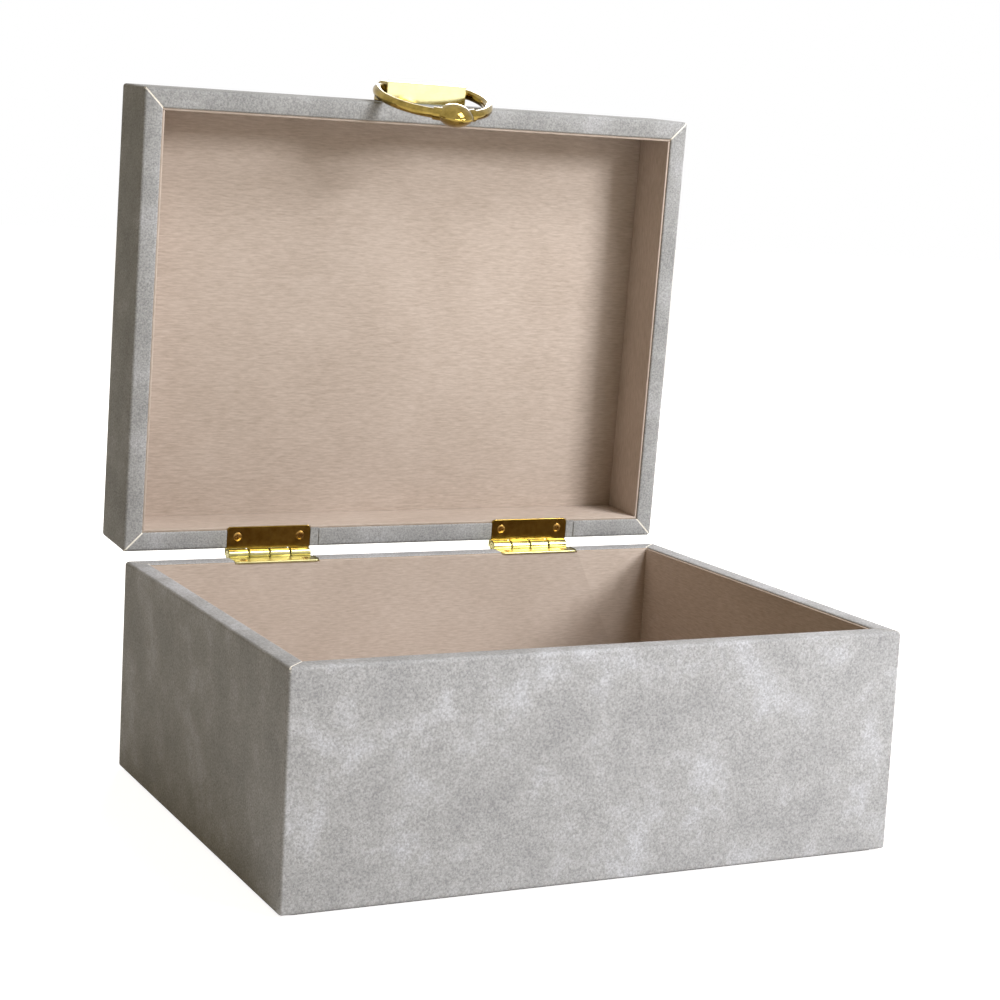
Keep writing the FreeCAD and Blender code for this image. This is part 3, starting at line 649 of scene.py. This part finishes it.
def ring_rod():
    """The rod that the ring turns on, its ends eased, inside the ring's bent ends."""
    bpy.ops.object.select_all(action="DESELECT")
    bpy.ops.mesh.primitive_cylinder_add(
        vertices=24, radius=ROD_RADIUS, depth=2 * ROD_END, rotation=(0, math.pi / 2, 0))
    rod = bpy.context.object
    rod.name = "pull_rod_pin"
    bpy.ops.object.transform_apply(location=True, rotation=True, scale=True)
    start_edit(rod, "FACE", lambda face: abs(face.normal.x) > FACING)
    bpy.ops.mesh.bevel(offset=ROD_EDGE, segments=2, affect="EDGES")
    end_edit()
    rod.data.materials.append(PULL_BRASS)
    put_in_place(rod, ON_RING)
    smooth_faces(rod, WIRE_SMOOTH)
    hand_over(rod, "lid", "brass", "pull_rod")


def block_body():
    """The block that carries the ring, rolled over along its far upper edge."""
    low, high = own_box("pull_block", ON_LID)
    block = start_block("pull_block_brass", low, high)

    def far_edge(edge):
        return all(p.y > high.y - MERGE_GAP and p.z < low.z + MERGE_GAP for p in ends(block, edge))

    bevel_edges(block, far_edge, BLOCK_ROLL, segments=12)
    put_in_place(block, ON_LID)
    # Painted reflection: the block's faces get a pale copy of the pull's brass, and its ends keep the pull's
    # own brass
    finish_brass(block, "pull_block", BLOCK_BRASS_PAINTED_REFLECTION, BLOCK_EDGE, "lid")
    second_material(block, PULL_BRASS, lambda face: abs(face.normal.x) > FACING)


block_body()
ring_wire()
ring_rod()
finish_brass(merged_copy("pull_bead_lens", "pull_bead"), "pull_bead", PULL_BRASS, 0, "pull_ring")
paint("pull_screws", SCREW_BRASS)


# The hinge screws

def hinge_screw():
    """One countersunk screw with a low crown and a cross recess, its head's rim at the origin."""
    bpy.ops.object.select_all(action="DESELECT")
    bpy.ops.mesh.primitive_cylinder_add(
        vertices=32, radius=SCREW_HEAD_RADIUS, depth=SCREW_HEAD_DEPTH, location=(0, 0, -SCREW_HEAD_DEPTH / 2))
    screw = bpy.context.object
    bpy.ops.object.transform_apply(location=True, rotation=True, scale=True)
    start_edit(screw, "FACE", lambda face: face.normal.z < -FACING)
    narrow = SCREW_SHANK_RADIUS / SCREW_HEAD_RADIUS
    bpy.ops.transform.resize(value=(narrow, narrow, 1))
    bpy.ops.mesh.extrude_region_move(TRANSFORM_OT_translate={"value": (0, 0, -SCREW_SHANK_LENGTH)})
    bpy.ops.mesh.extrude_region_move(TRANSFORM_OT_translate={"value": (0, 0, -SCREW_TIP_LENGTH)})
    bpy.ops.transform.resize(value=(SCREW_TIP_SHARE, SCREW_TIP_SHARE, 1))
    end_edit()
    start_edit(screw, "FACE", lambda face: face.normal.z > FACING)
    for share in CROWN_STEPS:
        bpy.ops.mesh.inset(thickness=SCREW_HEAD_RADIUS * share / 2)
        bpy.ops.transform.translate(value=(0, 0, SCREW_CROWN * (1 - share)))
    end_edit()
    for length, width in ((RECESS_LENGTH, RECESS_WIDTH), (RECESS_WIDTH, RECESS_LENGTH)):
        cutter = start_block(
            "recess",
            Vector((-length / 2, -width / 2, SCREW_CROWN - RECESS_DEPTH)),
            Vector((length / 2, width / 2, SCREW_CROWN + MM)))
        finish_modifier(screw, "BOOLEAN", object=cutter, operation="DIFFERENCE", solver="EXACT")
        bpy.data.objects.remove(cutter)
    screw.data.materials.append(SCREW_BRASS)
    return screw


def screw_group(screw, name, node, place, body, turns):
    """Four copies of the screw at the hinge leaves' holes, each turned as the driver left it."""
    low, high = own_box(node, place)
    copies = []
    for hinge in (-1, 1):
        for hole in (-1, 1):
            spot = Vector((
                hinge * HINGE_OFFSET + hole * HINGE_SCREW_OFFSET, low.y + SCREW_HEAD_RADIUS, high.z))
            copy = bpy.data.objects.new(name, screw.data.copy())
            bpy.context.scene.collection.objects.link(copy)
            turn = Matrix.Rotation(math.radians(turns[len(copies)]), 4, "Z")
            put_in_place(copy, place @ Matrix.Translation(spot) @ turn)
            copies.append(copy)
    bpy.ops.object.select_all(action="DESELECT")
    for copy in copies:
        copy.select_set(True)
    bpy.context.view_layer.objects.active = copies[0]
    bpy.ops.object.join()
    group = bpy.context.object
    group.name = name
    smooth_faces(group, SCREW_SMOOTH)
    hand_over(group, body, "brass", node)


one_screw = hinge_screw()
screw_group(one_screw, "hinge_base_screw_heads", "hinge_base_screws", ON_BASE, "base", BASE_SCREW_TURNS)
screw_group(one_screw, "hinge_lid_screw_heads", "hinge_lid_screws", ON_LID, "lid", LID_SCREW_TURNS)
bpy.data.objects.remove(one_screw)


# Floor, light and camera

FLOOR_SIZE = 12
FLOOR_GLOW = 0.9
FILL_STRENGTH = 0.21
LAMP_AIM = Vector((0, 0, 0.15))
CAMERA_AZIMUTH = math.radians(26.696)
CAMERA_HEIGHT_ANGLE = math.radians(7.531)
CAMERA_ROLL = math.radians(3.124)
CAMERA_SPOT = Vector((-0.41082, -0.8087, 0.27638))
CAMERA_LENS = 77.75
CAMERA_SENSOR = 36
CAMERA_SHIFT_Y = -0.05
CAMERA_NEAR = 0.01


def seen_directly(tree):
    """1 on rays from the camera, straight or by way of metal or glass, and 0 on rays that light the box."""
    path = add(tree, "ShaderNodeLightPath")
    seen = add(tree, "ShaderNodeMath", {
        0: path.outputs["Is Camera Ray"], 1: path.outputs["Is Glossy Ray"]}, operation="MAXIMUM")
    seen = add(tree, "ShaderNodeMath", {
        0: seen.outputs[0], 1: path.outputs["Is Transmission Ray"]}, operation="MAXIMUM")
    return seen.outputs[0]


def studio_floor():
    """A pale floor that reads as white paper and keeps the box's shadow."""
    bpy.ops.object.select_all(action="DESELECT")
    bpy.ops.mesh.primitive_plane_add(size=FLOOR_SIZE, location=(0, 0, 0))
    floor = bpy.context.object
    floor.name = "studio_floor"
    material, tree, shader, place = new_material("white_paper")
    shader.inputs["Base Color"].default_value = hex_colour("#e0deda")
    shader.inputs["Roughness"].default_value = 1.0
    glow = add(tree, "ShaderNodeMath", {0: seen_directly(tree), 1: FLOOR_GLOW}, operation="MULTIPLY")
    shader.inputs["Emission Color"].default_value = (1, 1, 1, 1)
    tree.links.new(glow.outputs[0], shader.inputs["Emission Strength"])
    floor.data.materials.append(material)


def studio_world():
    """White to the eye and in reflections, and a dim even fill on the box."""
    world = bpy.data.worlds.new("studio")
    bpy.context.scene.world = world
    world.use_nodes = True
    tree = world.node_tree
    seen = seen_directly(tree)
    strength = add(tree, "ShaderNodeMapRange", {"Value": seen, "To Min": FILL_STRENGTH, "To Max": 1.0})
    tint = add(tree, "ShaderNodeValToRGB", {"Fac": seen})
    set_ramp(tint, [(0, "#ffe7b6"), (1, "#ffffff")])
    tree.links.new(tint.outputs["Color"], tree.nodes["Background"].inputs["Color"])
    tree.links.new(strength.outputs["Result"], tree.nodes["Background"].inputs["Strength"])


def soft_lamp(name, spot, size, power):
    """A square soft box that faces the middle of the box."""
    lamp = bpy.data.lights.new(name, "AREA")
    lamp.size = size
    lamp.energy = power
    thing = bpy.data.objects.new(name, lamp)
    thing.location = spot
    thing.rotation_mode = "QUATERNION"
    thing.rotation_quaternion = (LAMP_AIM - Vector(spot)).to_track_quat("-Z", "Y")
    bpy.context.scene.collection.objects.link(thing)


def studio_camera():
    """The photograph's view: from the front left, a little above, and slightly rolled."""
    flat = math.cos(CAMERA_HEIGHT_ANGLE)
    back = Vector((
        -math.sin(CAMERA_AZIMUTH) * flat, -math.cos(CAMERA_AZIMUTH) * flat, math.sin(CAMERA_HEIGHT_ANGLE)))
    right = Vector((0, 0, 1)).cross(back).normalized()
    up = back.cross(right)
    rolled_right = right * math.cos(CAMERA_ROLL) + up * math.sin(CAMERA_ROLL)
    rolled_up = up * math.cos(CAMERA_ROLL) - right * math.sin(CAMERA_ROLL)
    data = bpy.data.cameras.new("studio_camera")
    data.lens = CAMERA_LENS
    data.sensor_width = CAMERA_SENSOR
    data.shift_y = CAMERA_SHIFT_Y
    data.clip_start = CAMERA_NEAR
    camera = bpy.data.objects.new("studio_camera", data)
    turn = Matrix((rolled_right, rolled_up, back)).transposed().to_4x4()
    camera.matrix_world = Matrix.Translation(CAMERA_SPOT) @ turn
    bpy.context.scene.collection.objects.link(camera)
    bpy.context.scene.camera = camera


studio_floor()
studio_world()
soft_lamp("key_lamp", spot=(1.12, -1.35, 1.0), size=0.6, power=29)
soft_lamp("front_lamp", spot=(0.54, -1.09, 0.22), size=0.2, power=0.11)
soft_lamp("top_lamp", spot=(0.5, -0.6, 1.35), size=0.5, power=11)
soft_lamp("back_lamp", spot=(0.75, 1.5, 0.9), size=0.6, power=12)
studio_camera()
bpy.context.scene.view_settings.view_transform = "Standard"

bpy.context.view_layer.update()
